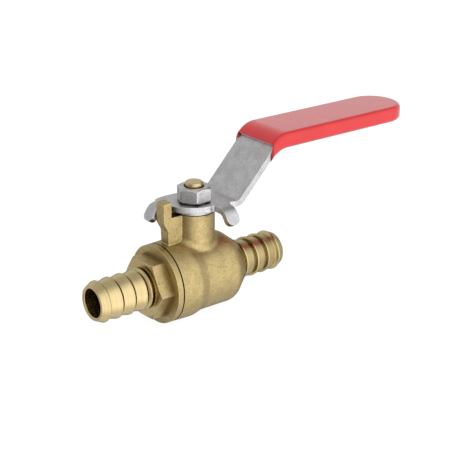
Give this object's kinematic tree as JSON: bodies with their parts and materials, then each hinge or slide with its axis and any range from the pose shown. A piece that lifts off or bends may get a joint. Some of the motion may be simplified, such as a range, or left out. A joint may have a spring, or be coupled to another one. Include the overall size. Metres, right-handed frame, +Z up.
{
  "type": "water shutoff valve",
  "caption": "Inline brass ball valve with ribbed crimp barbs for flexible tube at both ends and a cranked quarter-turn lever with a soft grip.",
  "frame": {"origin": "centre of the ball, where the waterway's axis crosses the stem's axis", "axes": "+X along the waterway from the threaded-in end retainer towards the integral outlet barb, which is also the way the lever points when open; +Z up the stem; +Y completes a right-handed frame"},
  "size_m": [0.1185, 0.0266, 0.0532],
  "materials": {
    "forged_brass": "shot-blasted forging, matte",
    "turned_brass": "turned, bright satin",
    "ball_plate": "polished plating",
    "seat_polymer": "matte white",
    "seal_rubber": "matte black",
    "plated_steel": "satin zinc plating",
    "grip_vinyl": "glossy dipped vinyl"
  },
  "bodies": {
    "valve_body": {"body": "forged_brass", "end_retainer": "turned_brass", "seat_inlet": "seat_polymer", "seat_outlet": "seat_polymer", "stem_thrust_washer": "seat_polymer"},
    "ball": {"ball": "ball_plate"},
    "handle": {"stem": "turned_brass", "stem_oring_lower": "seal_rubber", "stem_oring_upper": "seal_rubber", "lever_washer": "plated_steel", "lever": "plated_steel", "grip": "grip_vinyl", "handle_nut": "plated_steel"}
  },
  "joints": [
    {"name": "handle_turn", "type": "hinge", "parent": "valve_body", "child": "handle", "pos_m": [0, 0, 0.0215], "axis": [0, 0, 1], "range_deg": [-90, 0]},
    {"name": "ball_turn", "type": "hinge", "parent": "valve_body", "child": "ball", "pos_m": [0, 0, 0], "axis": [0, 0, 1], "range_deg": [-90, 0]}
  ],
  "couplings": [
    {"joint": "ball_turn", "follows": "handle_turn", "ratio": 1}
  ]
}
